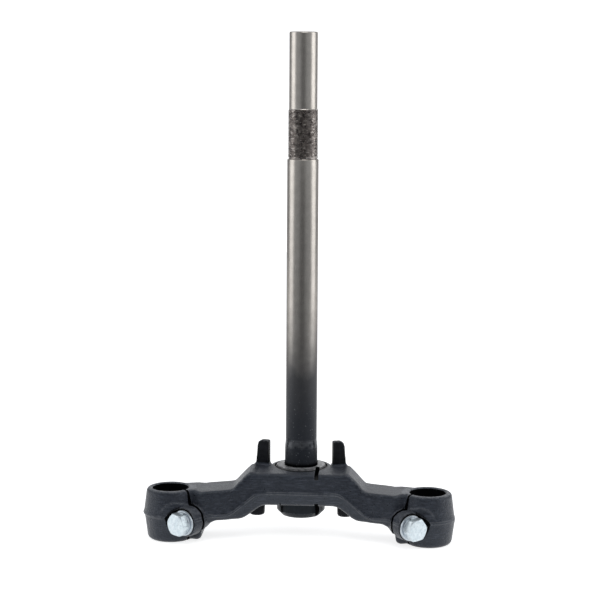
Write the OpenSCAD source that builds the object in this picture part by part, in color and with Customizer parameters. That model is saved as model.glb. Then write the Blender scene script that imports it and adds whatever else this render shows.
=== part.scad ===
// Lower fork bridge with a pressed-in steering stem and two slit fork clamps.
// Frame: the stem axis is Z, the machined ring round the stem is at Z = 0, and -Y is the front.

/* [Layout] */
// Distance between the two fork tube axes
fork_spacing = 213; // [180:1:240]
// How far the fork axes lie in front of the stem axis
fork_offset = 31.4; // [28:0.1:36]
// Diameter of the fork tubes
fork_d = 30; // [26:0.5:32]

/* [Stem] */
// Diameter of the long plain shaft
shaft_d = 26; // [25.5:0.1:28]
// Height of the plain shaft's top end
shaft_top = 257; // [150:1:320]
// Diameter of the lower bearing seat
seat_d = 27.2; // [26.4:0.1:30]
// Height of the lower bearing seat
seat_h = 17; // [10:0.5:30]
// Length of the taper between seat and shaft
seat_taper = 4.7; // [1:0.1:10]
// Major diameter of the adjuster thread
thread_d = 25; // [23.6:0.1:25.4]
// Length of the adjuster thread
thread_len = 40.4; // [20:0.2:60]
// Diameter of the smooth stub above the thread
stub_d = 23.4; // [20:0.1:23.5]
// Length of the smooth stub
stub_len = 63; // [30:1:90]
// Bore of the stem tube
stem_bore_d = 17; // [10:0.5:18]
// Rounding of the tube's top edge
stub_edge = 1.2; // [0.4:0.1:2]
// Diameter of the foot that is pressed into the hub
foot_d = 26; // [25:0.1:26.2]
// How far the foot stops short of the hub's underside
foot_recess = 1; // [0:0.5:4]
// Radial gap of the press fit, foot to hub
press_gap = 0.02; // [0.01:0.01:0.1]

/* [Hub] */
// Diameter of the machined ring that the bearing rests on
ring_d = 41.2; // [36:0.2:46]
// Height of the machined ring above the hub
ring_h = 1; // [0.5:0.1:2]
// Diameter of the round hub at its top
hub_d = 53; // [50:0.5:60]
// Depth of the hub and beam in the middle
hub_depth = 27.2; // [24:0.2:34]
// Diameter of the boss under the hub
under_d = 40.8; // [36:0.2:46]
// Depth of the boss under the hub
under_h = 14.8; // [8:0.2:18]
// Height of the chamfer on the boss under the hub
under_chamfer = 4.6; // [1:0.2:5]

/* [Beam] */
// Half width of the raised middle, on top
crown_half = 40.4; // [38.5:0.2:44]
// Length of the slope from the middle down to each arm, on top
shoulder_run = 14; // [10:0.5:18]
// Height difference between the middle and the arms, on top
shoulder_drop = 14.5; // [8:0.5:15]
// Half width of the raised middle, underneath
belly_half = 31; // [26:0.5:34]
// Length of the slope underneath
belly_run = 15.5; // [10:0.5:18]
// Depth of each arm
arm_depth = 23.8; // [20:0.2:27]
// Distance of the front edge from the stem axis
beam_front = 34; // [30:0.5:36]
// Distance of the back edge behind the stem axis
beam_back = 2.8; // [1:0.2:6]
// How far the arm's front edge passes the fork axis where it meets the clamp
arm_lead = 14.6; // [12:0.2:17]
// Draft of the forged sides in degrees
draft = 6; // [3:0.5:7]
// Rounding of the upper edges
top_edge = 3; // [1:0.25:4]
// Rounding of the lower edges
low_edge = 4; // [1:0.25:5]
// Height of the trimmed flash band
flash_band = 2.3; // [1.5:0.1:3]
// How far the flash band stands out
flash_out = 0.6; // [0.2:0.1:1]
// Depth of the parting line under the top, in the middle
hub_parting = 16; // [13:0.5:18]
// Depth of the parting line under the top, on the arms
arm_parting = 19.5; // [15:0.5:20]

/* [Clamps] */
// Wall of the clamp at its top edge
clamp_wall = 5; // [4:0.25:7]
// Height of the clamps
clamp_h = 43; // [38:0.5:46]
// How far the clamp's machined top stands above the arm
clamp_rise = 1.5; // [0.5:0.1:3]
// Running clearance of the open clamp round the fork tube
fork_gap = 0.03; // [0:0.01:0.2]
// Chamfer at both ends of the fork bores
bore_chamfer = 0.8; // [0.4:0.1:1.5]
// Reach of the thick clamp root from the fork axis towards the arm
root_reach = 27; // [24:0.5:30]
// How far the arm's underside falls on its way to the clamp root
root_fall = 5.1; // [0:0.1:6]
// Direction of the slit in plan, from straight ahead towards the middle
slit_angle = 54; // [46:1:60]
// Width of the slit
slit_w = 2; // [1:0.1:3]

/* [Pinch bolts] */
// Thread diameter of the pinch bolts
bolt_d = 10; // [8:0.5:12]
// Length of the bolts under the head
bolt_len = 28; // [24:0.5:30]
// Width of the hex head across its flats
head_af = 17; // [13:0.5:19]
// Height of the hex head
head_h = 6.4; // [5:0.1:8]
// Turn of the hex heads in degrees
head_turn = 6; // [0:1:60]
// Distance of the bolt axis from the fork axis
bolt_reach = 25; // [24:0.25:27]
// Depth of the bolt axis under the clamp's top
bolt_drop = 24.3; // [21:0.1:26]
// Distance from the slit's middle to the washer's seat
seat_reach = 10.5; // [8:0.25:12]
// Diameter of the boss round the bolt
boss_d = 23.2; // [22:0.2:26]
// Depth of the boss behind the slit
boss_back = 17; // [16:0.5:20]
// How far the boss keeps its full width behind the slit
boss_straight = 1.5; // [1:0.5:5]
// Room round the plain washer in its seat
seat_room = 1.5; // [0.4:0.1:1.8]
// Outer diameter of the plain washer
washer_d = 21; // [19:0.5:21.5]
// Thickness of the plain washer
washer_t = 2; // [1:0.1:3]
// Outer diameter of the spring washer
spring_d = 18.1; // [16:0.1:19]
// Thickness of the spring washer
spring_t = 2.2; // [1.5:0.1:3]
// Radial clearance of the bolt in the washers and in the front half
bolt_gap = 0.25; // [0.1:0.05:0.5]
// Radial gap at the bolt's thread
thread_gap = 0.02; // [0.01:0.01:0.1]

/* [Stop lugs] */
// Distance of each lug's inner face from the stem axis
lug_inner = 27.5; // [24:0.1:29]
// Width of the lugs at the base
lug_w = 10.8; // [9:0.2:12]
// Depth of the lugs, front to back
lug_depth = 6.5; // [6:0.5:9]
// Distance of the lug's front face in front of the stem axis
lug_front = 5; // [2:0.5:8]
// Height of the lugs above the ring face
lug_top = 20.5; // [12:0.5:28]
// Cut on the outer top corner of the lugs
lug_corner = 3.2; // [1:0.1:4]
// Turn of the lugs in plan, in degrees
lug_turn = 16; // [0:1:20]

/* [Small bosses and slots] */
// Distance between the two threaded bosses underneath
stay_spacing = 74; // [70:0.5:80]
// Diameter of the threaded bosses
stay_d = 13; // [11:0.5:15]
// Distance of the threaded bosses in front of the stem axis
stay_front = 8; // [6:0.5:16]
// Depth of the threaded bosses' faces under the ring face
stay_face = 42; // [40.5:0.5:46]
// Core diameter of the M6 holes in the threaded bosses
stay_hole_d = 5; // [4:0.1:6]
// Depth of the M6 holes
stay_hole_depth = 14; // [8:0.5:18]
// Distance of the slot beside the stem from the stem axis
slot_x = 14.6; // [13.5:0.1:17]
// Width of the slot beside the stem
slot_w = 3.4; // [1.5:0.1:4]
// Depth of the slot from the ring face
slot_depth = 5.5; // [2:0.1:7]
// Height up to which the lower slot runs, under the ring face
low_slot_top = 25.6; // [24:0.2:28]
// Width of the thin nick on the other side of the boss
nick_w = 1.4; // [0.5:0.1:2]
// Distance of the thin nick from the stem axis
nick_x = 15.2; // [13.5:0.1:17]
// How far the back of the nick lies in front of the stem axis
nick_back = 9.6; // [9.6:0.2:13]

/* [Hidden] */
round_fn = 96;
small = 0.01;
far = 100;

// Heights and places worked out from the sizes above
fork_x = fork_spacing / 2;
bore_r = fork_d / 2 + fork_gap;
clamp_r = fork_d / 2 + clamp_wall;
// Small step that keeps the beam's faces just under the machined ones
skin = 0.15;
hub_top = -ring_h;
hub_bottom = hub_top - hub_depth;
under_z = hub_bottom - under_h;
beam_top = hub_top - skin;
arm_top = hub_top - shoulder_drop;
arm_bottom = arm_top - arm_depth;
clamp_top = arm_top + clamp_rise;
clamp_bottom = clamp_top - clamp_h;
root_bottom = clamp_bottom + 0.3;
root_corner = 5;
root_corner_run = 6.5;
bolt_z = clamp_top - bolt_drop;
parting_mid = hub_top - hub_parting;
parting_arm = arm_top - arm_parting;
fall = tan(draft);

// Bends of the beam, as distances from its middle
shoulder_end = crown_half + shoulder_run;
belly_end = belly_half + belly_run;
bend_start = belly_half - 8;
root_start = fork_x - root_reach;
slope_run = 11;
bend_end = min(shoulder_end + 8, root_start - slope_run - 2);
pad_start = root_start - 0.5;
beam_end = fork_x - 7;
sweep_start = 35;
sweep_slope = (fork_offset + arm_lead - beam_front) / (root_start - sweep_start);
return_slope = 0.6;
back_start = 25;
back_bend = 58;
back_target = clamp_r - fork_offset;
back_slope = 0.17;
back_extra = (beam_back - back_target - back_slope * (fork_x - clamp_r - back_start))
    / (fork_x - clamp_r - back_bend);

// Zero before a corner and straight after it, with the corner rounded over w on each side
function soft(u, w) = u < -w ? 0 : u > w ? u : (u + w) * (u + w) / (4 * w);

// Rises from 0 to 1 between a and b, with round corners
function ramp(x, a, b, w) = (soft(x - a, w) - soft(x - b, w)) / (b - a);

// Share of a round corner's depth that is reached u past its start, where r is its radius
function quarter(u, r) = u <= 0 ? 0 : u >= r ? 1 : sqrt(1 - (1 - u / r) * (1 - u / r));

// The forged beam's outline as functions of the distance from its middle
function top_z(ax) = beam_top
    + (arm_top - beam_top) * ramp(ax, crown_half, shoulder_end, 1.4)
    + (clamp_rise - skin) * ramp(ax, pad_start, pad_start + 5, 1.5);
function bottom_z(ax) = hub_bottom
    + (arm_bottom - hub_bottom) * ramp(ax, belly_half, belly_end, 4)
    - root_fall * ramp(ax, root_start - slope_run, root_start - 0.5, 1.2)
    + (root_bottom + root_corner - arm_bottom + root_fall) * ramp(ax, root_start - 0.5, root_start + 0.5, 0.3)
    - root_corner * quarter(ax - root_start - 0.5, root_corner_run);
function parting_z(ax) = parting_mid
    + (parting_arm - parting_mid) * ramp(ax, crown_half - 6.5, shoulder_end + 2.5, 5);
function front_y(ax) = -beam_front
    - sweep_slope * soft(ax - sweep_start, 6)
    + (sweep_slope + return_slope) * soft(ax - root_start, 1.5);
function back_y(ax) = beam_back
    - back_slope * soft(ax - back_start, 5)
    - back_extra * soft(ax - back_bend, 8);

// Quarter arc as points, from angle a to angle b
function arc(cy, cz, r, a, b, n) =
    [for (i = [0 : n]) [cy + r * cos(a + (b - a) * i / n), cz + r * sin(a + (b - a) * i / n)]];

// One side's flash band, from below to above, where side is -1 in front and 1 behind
function band(y, z, side) = [
    [y, z - flash_band / 2],
    [y + side * flash_out, z - flash_band / 2 + 0.4],
    [y + side * flash_out, z + flash_band / 2 - 0.4],
    [y, z + flash_band / 2]
];

// Closed section of the beam in Y and Z at a distance from its middle
function section(ax) =
    let (
        t = top_z(ax),
        b = bottom_z(ax),
        p = parting_z(ax),
        upper = (t - p) * fall,
        lower = (p - b) * fall,
        f = front_y(ax) - upper,
        k = back_y(ax) + upper,
        e = min(low_edge, p - b - flash_band / 2 - 0.3)
    )
    concat(
        arc(front_y(ax) + top_edge, t - top_edge, top_edge, 180, 90, 3),
        arc(back_y(ax) - top_edge, t - top_edge, top_edge, 90, 0, 3),
        [for (q = [3 : -1 : 0]) band(k, p, 1)[q]],
        arc(k - lower - e, b + e, e, 0, -90, 3),
        arc(f + lower + e, b + e, e, 270, 180, 3),
        band(f, p, -1)
    );

// Places of the sections along one half of the beam
half_stations = concat(
    [back_start / 2],
    [for (i = [0 : 15]) bend_start + (bend_end - bend_start) * i / 15],
    [(bend_end + root_start - 12.2) / 2],
    [for (u = [-12.2, -11, -9.8, -5, -1.7, -0.8, -0.2, 0.2, 0.6, 0.9, 1.5, 2.5, 4.5, 7.2]) root_start + u],
    [beam_end]
);
stations = concat(
    [for (i = [len(half_stations) - 1 : -1 : 0]) -half_stations[i]],
    [0],
    half_stations
);

// The forged beam: sections joined along X
module beam() {
    rings = [for (x = stations) [for (q = section(abs(x))) [x, q[0], q[1]]]];
    n = len(rings[0]);
    last = len(rings) - 1;
    points = [for (r = rings) for (q = r) q];
    sides = [
        for (i = [0 : last - 1]) for (j = [0 : n - 1])
            let (a = i * n + j, b = i * n + (j + 1) % n)
                each [[a, b, b + n], [a, b + n, a + n]]
    ];
    first_cap = [for (j = [n - 1 : -1 : 0]) j];
    last_cap = [for (j = [0 : n - 1]) last * n + j];
    polyhedron(points, concat(sides, [first_cap, last_cap]), convexity = 6);
}

// Round body with drafted sides and a flash band, as a radius and height outline
module forged_round(r, top, bottom, parting, upper_edge, lower_edge) {
    wide = r + (top - parting) * fall;
    narrow = wide - (parting - bottom) * fall;
    rotate_extrude($fn = round_fn)
        polygon(concat(
            [[0, bottom]],
            arc(narrow - lower_edge, bottom + lower_edge, lower_edge, 270, 360, 4),
            band(wide, parting, 1),
            arc(r - upper_edge, top - upper_edge, upper_edge, 0, 90, 4),
            [[0, top]]
        ));
}

// Children in the frame of one clamp: +X from the slit towards the bolt head, -Y along the slit
module at_clamp(side) {
    mirror([side < 0 ? 1 : 0, 0, 0])
        translate([fork_x, -fork_offset, 0])
            rotate([0, 0, -slit_angle])
                children();
}

// Children on the bolt axis of one clamp, where +Z points from the slit to the bolt head
module on_bolt(side) {
    at_clamp(side)
        translate([0, -bolt_reach, bolt_z])
            rotate([0, 90, 0])
                children();
}

// Solid clamp with its bolt boss, before any cut
module clamp_body(side) {
    mirror([side < 0 ? 1 : 0, 0, 0])
        translate([fork_x, -fork_offset, 0])
            forged_round(clamp_r, clamp_top, clamp_bottom, parting_arm, top_edge, low_edge);
    on_bolt(side) boss();
}

// Boss round the bolt: tapered and round-ended behind the slit, with a flat underside there
module boss() {
    r = boss_d / 2;
    tip = bolt_d / 2 + 2.4;
    edge = 1.2;
    under = bolt_d / 2 + 1.7;
    difference() {
        rotate_extrude($fn = round_fn)
            polygon(concat(
                [[0, -boss_back]],
                arc(tip - 4, -boss_back + 4, 4, 270, 345, 4),
                [[r - 1.6, -6], [r, -boss_straight]],
                arc(r - edge, seat_reach - edge, edge, 0, 90, 3),
                [[0, seat_reach]]
            ));
        translate([under, -boss_d, -boss_back - 1])
            cube([boss_d, 2 * boss_d, boss_back + 1]);
    }
}

// What is cut from one clamp: bore, slit, bolt hole and washer seat
module clamp_cuts(side) {
    thread_end = bolt_len - seat_reach - washer_t - spring_t + 1.5;
    seat_cut_r = washer_d / 2 + seat_room;
    mirror([side < 0 ? 1 : 0, 0, 0])
        translate([fork_x, -fork_offset, 0])
            bore(bore_r, clamp_bottom, clamp_top, bore_chamfer);
    at_clamp(side)
        translate([-slit_w / 2, -bolt_reach - boss_d / 2 - 1, clamp_bottom - 1])
            cube([slit_w, bolt_reach + boss_d / 2 + 1 - bore_r / 2, clamp_h + 2]);
    on_bolt(side) {
        cylinder(h = seat_reach + 1, r = bolt_d / 2 + bolt_gap, $fn = round_fn);
        translate([0, 0, -thread_end])
            cylinder(h = thread_end + 1, r = bolt_d / 2 + thread_gap, $fn = round_fn);
        translate([0, 0, seat_reach])
            cylinder(h = washer_t + spring_t + head_h + 8, r = seat_cut_r, $fn = round_fn);
    }
}

// Through bore with a chamfer at each end
module bore(r, bottom, top, chamfer) {
    translate([0, 0, bottom - 1])
        cylinder(h = top - bottom + 2, r = r, $fn = round_fn);
    translate([0, 0, top - chamfer])
        cylinder(h = chamfer + small, r1 = r, r2 = r + chamfer + small, $fn = round_fn);
    translate([0, 0, bottom - small])
        cylinder(h = chamfer + small, r1 = r + chamfer + small, r2 = r, $fn = round_fn);
}

// Hub, machined ring on top and boss underneath
module hub() {
    forged_round(hub_d / 2, hub_top, hub_bottom - skin, parting_mid, top_edge, 2.5);
    rotate_extrude($fn = round_fn)
        polygon([
            [0, under_z],
            [under_d / 2 - under_chamfer, under_z],
            [under_d / 2, under_z + under_chamfer],
            [under_d / 2, hub_bottom + 1],
            [ring_d / 2, hub_top - 1],
            [ring_d / 2, -0.25],
            [ring_d / 2 - 0.25, 0],
            [0, 0]
        ]);
}

// Stop lug on the right, with a flared base
module lug() {
    root = -8;
    flare = 1.4;
    lean = 0.9;
    translate([lug_inner, -lug_front, 0])
        rotate([90, 0, lug_turn])
            mirror([0, 0, 1])
                linear_extrude(lug_depth)
                    polygon([
                        [-flare, root],
                        [lug_w + flare, root],
                        [lug_w + flare, hub_top + 0.4],
                        [lug_w + 0.3, hub_top + 2.2],
                        [lug_w - lean, lug_top - lug_corner * 1.4],
                        [lug_w - lean - lug_corner * 0.35, lug_top - lug_corner * 0.4],
                        [lug_w - lean - lug_corner, lug_top],
                        [0.5, lug_top],
                        [0, lug_top - 0.5],
                        [0, hub_top + 2],
                        [-flare, hub_top + 0.4]
                    ]);
}

// Threaded boss under one arm
module stay_boss(side) {
    translate([side * stay_spacing / 2, -stay_front, 0])
        rotate_extrude($fn = 48)
            polygon(concat(
                [[0, -stay_face]],
                arc(stay_d / 2 - 1.5, 1.5 - stay_face, 1.5, 270, 360, 3),
                [[stay_d / 2 + 0.6, parting_mid - 2], [0, parting_mid - 2]]
            ));
}

module stay_hole(side) {
    translate([side * stay_spacing / 2, -stay_front, -stay_face - 1])
        cylinder(h = stay_hole_depth + 1, d = stay_hole_d, $fn = 48);
    translate([side * stay_spacing / 2, -stay_front, -stay_face - small])
        cylinder(h = 0.8, r1 = stay_hole_d / 2 + 0.8, r2 = stay_hole_d / 2, $fn = 48);
}

// Slot beside the stem on top, the slot in line with it below and the thin nick opposite
module slots() {
    slot_back = 9.6;
    translate([slot_x - slot_w / 2, -far, -slot_depth])
        cube([slot_w, far - slot_back, slot_depth + 1]);
    translate([slot_x - slot_w / 2, -far, under_z - 1])
        cube([slot_w, far - slot_back, -low_slot_top - under_z + 1]);
    translate([-nick_x - nick_w / 2, -far, under_z + under_chamfer - 1])
        cube([nick_w, far - nick_back, -low_slot_top - under_z - under_chamfer + 1]);
}

module fork_bridge() {
    color("#2b2e31")
        difference() {
            union() {
                beam();
                hub();
                for (side = [-1, 1]) {
                    clamp_body(side);
                    mirror([side < 0 ? 1 : 0, 0, 0]) lug();
                    stay_boss(side);
                }
            }
            for (side = [-1, 1]) {
                clamp_cuts(side);
                stay_hole(side);
            }
            bore(foot_d / 2 + press_gap, under_z, 0, bore_chamfer);
            slots();
        }
}

module steering_stem() {
    foot_r = foot_d / 2;
    seat = seat_d / 2;
    shaft = shaft_d / 2;
    thread = thread_d / 2;
    stub = stub_d / 2;
    tube = stem_bore_d / 2;
    thread_top = shaft_top + thread_len;
    top = thread_top + stub_len;
    foot_z = under_z + foot_recess;
    color("#b4b1a8")
        rotate_extrude($fn = round_fn)
            polygon(concat(
                [
                    [tube + 0.8, foot_z],
                    [foot_r - 0.8, foot_z],
                    [foot_r, foot_z + 1.6],
                    [foot_r, 0],
                    [seat, 0],
                    [seat, seat_h],
                    [shaft, seat_h + seat_taper],
                    [shaft, shaft_top - (shaft - thread)],
                    [thread, shaft_top],
                    [thread, thread_top - (thread - stub)],
                    [stub, thread_top]
                ],
                arc(stub - stub_edge, top - stub_edge, stub_edge, 0, 90, 4),
                [
                    [tube + 0.6, top],
                    [tube, top - 0.6],
                    [tube, foot_z + 0.8]
                ]
            ));
}

// Hex bolt on its own axis, with the underside of the head at zero and the shank below
module hex_bolt() {
    corner = head_af / sqrt(3);
    chamfer = 0.8;
    intersection() {
        rotate([0, 0, 30 + head_turn])
            cylinder(h = head_h, r = corner, $fn = 6);
        rotate_extrude($fn = round_fn)
            polygon([
                [0, 0],
                [corner, 0],
                [corner, head_h - chamfer],
                [head_af / 2, head_h],
                [0, head_h]
            ]);
    }
    rotate_extrude($fn = round_fn)
        polygon([
            [0, small],
            [0, -bolt_len],
            [bolt_d / 2 - 1, -bolt_len],
            [bolt_d / 2, 1 - bolt_len],
            [bolt_d / 2, small]
        ]);
}

module pinch_bolt(side) {
    color("#c9d2d8")
        on_bolt(side)
            translate([0, 0, seat_reach + washer_t + spring_t])
                hex_bolt();
}

// Flat ring on its own axis with slightly broken edges
module flat_ring(inner, outer, t) {
    edge = 0.2;
    rotate_extrude($fn = round_fn)
        polygon([
            [inner, 0], [outer - edge, 0], [outer, edge],
            [outer, t - edge], [outer - edge, t], [inner, t]
        ]);
}

module plain_washer(side) {
    color("#aab4bb")
        on_bolt(side)
            translate([0, 0, seat_reach])
                flat_ring(bolt_d / 2 + bolt_gap, washer_d / 2, washer_t);
}

// Spring washer, cut through on a slant
module spring_washer(side) {
    color("#98a3ab")
        on_bolt(side)
            translate([0, 0, seat_reach + washer_t])
                difference() {
                    flat_ring(bolt_d / 2 + bolt_gap, spring_d / 2, spring_t);
                    rotate([0, 0, 200])
                        translate([spring_d / 2, 0, spring_t / 2])
                            rotate([35, 0, 0])
                                cube([spring_d, 1, 4 * spring_t], center = true);
                }
}

fork_bridge();
steering_stem();
pinch_bolt(-1);  // pinch_bolt_left
pinch_bolt(1);  // pinch_bolt_right
spring_washer(-1);  // spring_washer_left
spring_washer(1);  // spring_washer_right
plain_washer(-1);  // plain_washer_left
plain_washer(1);  // plain_washer_right
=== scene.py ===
import math

import bmesh
import bpy
import numpy as np
from mathutils import Matrix, Vector


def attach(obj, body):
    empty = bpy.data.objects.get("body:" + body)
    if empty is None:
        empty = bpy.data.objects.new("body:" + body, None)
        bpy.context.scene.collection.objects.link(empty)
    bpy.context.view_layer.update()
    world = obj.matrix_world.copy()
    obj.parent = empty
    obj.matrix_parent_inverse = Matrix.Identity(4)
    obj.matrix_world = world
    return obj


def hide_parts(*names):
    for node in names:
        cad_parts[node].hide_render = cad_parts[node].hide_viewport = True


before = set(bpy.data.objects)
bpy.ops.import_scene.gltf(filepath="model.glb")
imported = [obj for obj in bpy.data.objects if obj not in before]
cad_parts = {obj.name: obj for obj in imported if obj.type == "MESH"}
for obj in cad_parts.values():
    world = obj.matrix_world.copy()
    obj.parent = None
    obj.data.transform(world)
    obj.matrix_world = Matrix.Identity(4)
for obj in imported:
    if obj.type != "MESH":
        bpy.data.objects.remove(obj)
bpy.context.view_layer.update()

# Lengths are in millimetres unless a comment says metres; meshes become metres at the end
MM = 0.001
FULL_TURN = 2 * math.pi

# Camera, fitted to the photograph: metres and degrees, the lens and its sensor in millimetres
CAMERA_PLACE = (0.0849, -1.4100, 0.3385)
CAMERA_HEADING = 3.517
CAMERA_DROP = 8.018
CAMERA_ROLL = 0.339
FOCAL_LENGTH = 102.82
SENSOR_W = 36
CLIP_NEAR = 0.05
CLIP_FAR = 50

# Fork clamps
FORK_X = 106.5
FORK_Y = -31.4
BORE_R = 15.03
CLAMP_TOP = -14.0
CLAMP_BOTTOM = -57.0
CLAMP_R = 20.0
SLIT_ANGLE = 54.0
SLIT_W = 2.0
SLIT_CUT_W = 2.5
SLIT_CUT_TOP = -10
RIM_REACH = 3.5
EDGE_CHAMFER = 0.8

# Pinch bolt and its washers, along the bolt's own axis from the slit outwards
BOLT_REACH = 25.0
BOLT_Z = -38.3
BOLT_R = 5.0
BOLT_LENGTH = 28.0
BOLT_TIP = 1.0
BOLT_DEEP = 14.8
BOLT_GAP = 0.25
SEAT_REACH = 10.5
SEAT_CUT_R = 12.0
SEAT_WALL_H = 4.5
SEAT_RELIEF_W = 2
SEAT_RELIEF_H = 5
SEAT_CUT_H = 20
BOSS_R = 11.6
BOSS_END = -18.0
HEAD_AF = 17.0
HEAD_H = 6.4
HEAD_TURN = 6.0
HEAD_FOOT = 0.4
HEAD_CROWN = 0.82
HEAD_ROUND = 0.22
SHANK_LAP = 0.5
WASHER_R = 10.5
WASHER_T = 2.0
WASHER_EDGE = 0.35
WASHER_ROUND = 0.1
WASHER_BORE_EDGE = 0.2
SPRING_R = 9.05
SPRING_T = 2.2
SPRING_LIFT = 0.12
SPRING_EDGE = 0.3
SPRING_BORE_EDGE = 0.25
SPRING_START = 204.0
SPRING_SWEEP = 352.0
SPRING_STEPS = 90

# Raised skin above each bolt head; its edge spreads away from the slit
PAD_R = 12.6
PAD_SPREAD = 0.38
PAD_MOST_R = 18.8
PAD_END = 22.0
PAD_RISE = 0.6
PAD_EDGE_W = 1.4

# Hub with its ring, groove and boss underneath
HUB_BORE_R = 13.02
RING_R = 20.6
RING_EDGE = 0.4
RING_WALL = 0.3
RING_FOOT = -1.2
GROOVE_INNER_R = RING_R + 0.2
GROOVE_OUTER_R = RING_R + 1.7
GROOVE_FLOOR = -2.2
UNDER_Z = -43.0
UNDER_R = 20.4
UNDER_CHAMFER = 4.6
UNDER_TOP = -28.6
UNDER_TRIM = 0.15
UNDER_CUT_W = 1.6
UNDER_CUT_PAST = 0.05

# Slots: middle, width, and the heights from and to which each is cut
SLOT_X = 14.6
SLOT_W = 3.4
SLOT_BACK = -9.6
NICK_X = -15.2
NICK_W = 1.4
LOW_SLOT_TOP = -25.6
CUT_SLOTS = (
    (SLOT_X, SLOT_W, -5.5, 3),
    (SLOT_X, SLOT_W, -50, LOW_SLOT_TOP),
    (NICK_X, NICK_W, -39.4, LOW_SLOT_TOP),
)

# The same slots where they are filled before the skin is made; a little longer at both ends
FILLED_SLOTS = (
    (SLOT_X, SLOT_W, -7, 2),
    (SLOT_X, SLOT_W, -50, -25),
    (NICK_X, NICK_W, -50, -25),
)

# Ears beside the stem and lugs underneath
EAR_INNER_X = 23.0
EAR_FOOT_Z = 1.5
STAY_X = 37.0
STAY_Y = -8.0
STAY_Z = -42.0
STAY_HOLE_R = 2.5
STAY_HOLE_DEPTH = 13
STAY_TIP_DEPTH = 14.4
LUG_TOP = -33.0
LUG_HALF_X = 9
LUG_HALF_Y = 10

# Forging: sideways mismatch of its two dies, its flash line, its widest point and the clamps' root
DIE_SHIFT = 0.6
DIE_STEP_H = 1.6
PARTING_BEND = (33.9, 56.9)
PARTING_ROUND = 5.0
PARTING_Z = (-17.0, -35.0)
OUTER_X = 129.2
ROOT_X = 79.5
ROOT_TOP = -38

# Distance from the middle, and how far the crowned top stands above the solid's flat top there
TOP_CROWN = ((35, 0), (41, 1.8), (46, 2.3), (51, 2.2), (56, 1.5), (62, 1.2), (76, 0.9), (83, 0))

# Skin: voxels, and how much it relaxes in hollows and on crests
VOXEL = 0.8
SOFTEN_ROUNDS = 14
NORMALS_EVERY = 4
HOLLOW_PULL = 0.5
CREST_PULL = 0.06

# Plugs that close each hole before the skin is made reach this far into the solid round it
HUB_PLUG_TOP = -0.02
BORE_LAP = 1.2
BOLT_LAP = 0.6
STAY_LAP = 1
SLAB_LAP = 0.05
SLAB_BELOW = -70

# Cutters: the skin that they take off a machined face and a bore's wall, how far they reach past
# a mouth, past an edge and past the seat of a bolt, and ends that lie outside the whole part
FACE_TRIM = 0.1
BORE_SKIM = 0.02
OVERCUT = 2
PAST_EDGE = 3
PAST_SEAT = 1
FAR_FRONT = -60
FAR_BELOW = -60

# Stem
TUBE_R = 8.5
TUBE_MOUTH = 0.6
FOOT_R = 13.0
FOOT_Z = UNDER_Z + 1
FOOT_EDGE = 0.8
SEAT_R = 13.6
SEAT_H = 17.0
SEAT_TAPER = 4.4
LIP_R = SEAT_R + 0.4
LIP_TOP = 2.6
SHAFT_R = 13.0
SHAFT_MIDDLE = 120
SHAFT_TOP = 257.0
THREAD_R = 12.5
THREAD_ROOT_R = 11.95
THREAD_TOP = 297.4
THREAD_PITCH = 1.0
THREAD_STEPS = 48
THREAD_START = 0.6
THREAD_SINK = 0.05
THREAD_PLAY = 0.03
STUB_R = 11.7
STUB_EDGE = 1.2
STEM_TOP = 360.4

# Points closer than this are one: in a solid of the frame, and on the axis of a turned form
SOLID_MERGE = 0.001
TURNED_MERGE = 0.0005

# Steps round a turned form
ROUND_STEPS = 96
FINE_STEPS = 144
HOLE_STEPS = 48


def make_camera():
    data = bpy.data.cameras.new("camera")
    data.lens = FOCAL_LENGTH
    data.sensor_width = SENSOR_W
    data.clip_start, data.clip_end = CLIP_NEAR, CLIP_FAR
    camera = bpy.data.objects.new("camera", data)
    bpy.context.scene.collection.objects.link(camera)
    heading = Matrix.Rotation(math.radians(CAMERA_HEADING), 4, "Z")
    drop = Matrix.Rotation(math.radians(90 - CAMERA_DROP), 4, "X")
    roll = Matrix.Rotation(math.radians(CAMERA_ROLL), 4, "Z")
    camera.matrix_world = Matrix.Translation(CAMERA_PLACE) @ heading @ drop @ roll
    bpy.context.scene.camera = camera


# Node helpers

# Sockets of the mix node that belong to its colour mode
MIX_SHARE, MIX_FIRST, MIX_SECOND, MIX_RESULT = 0, 6, 7, 2


def put(tree, kind, *values, settings=None, **named):
    """Adds a shader node; each value is a number, a colour or another node's output."""
    made = tree.nodes.new("ShaderNode" + kind)
    for name, value in (settings or {}).items():
        setattr(made, name, value)
    pairs = list(enumerate(values))
    pairs += [(name.replace("_", " "), value) for name, value in named.items()]
    for key, value in pairs:
        if isinstance(value, bpy.types.NodeSocket):
            tree.links.new(value, made.inputs[key])
        elif value is not None:
            made.inputs[key].default_value = value
    return made


def calc(tree, how, a, b=None, c=None, clamp=False):
    settings = {"operation": how, "use_clamp": clamp}
    return put(tree, "Math", a, b, c, settings=settings).outputs[0]


def times(tree, a, b):
    return calc(tree, "MULTIPLY", a, b)


def blend_colour(tree, share, first, second):
    """Mix of two colours, from first at 0 to second at 1."""
    mix = tree.nodes.new("ShaderNodeMix")
    mix.data_type = "RGBA"
    for index, value in ((MIX_SHARE, share), (MIX_FIRST, first), (MIX_SECOND, second)):
        if isinstance(value, bpy.types.NodeSocket):
            tree.links.new(value, mix.inputs[index])
        elif index == MIX_SHARE:
            mix.inputs[index].default_value = value
        else:
            mix.inputs[index].default_value = (*value, 1)
    return mix.outputs[MIX_RESULT]


def lay(tree, base, colour, mask, share=None):
    """Lays a colour over a base by a mask, times a share where one is given."""
    if share is not None:
        mask = times(tree, mask, share)
    return blend_colour(tree, mask, base, colour)


def span(tree, value, low, high, to_low=0.0, to_high=1.0):
    """Maps a value from one range to another and clamps it."""
    return put(tree, "MapRange", value, low, high, to_low, to_high).outputs[0]


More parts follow.
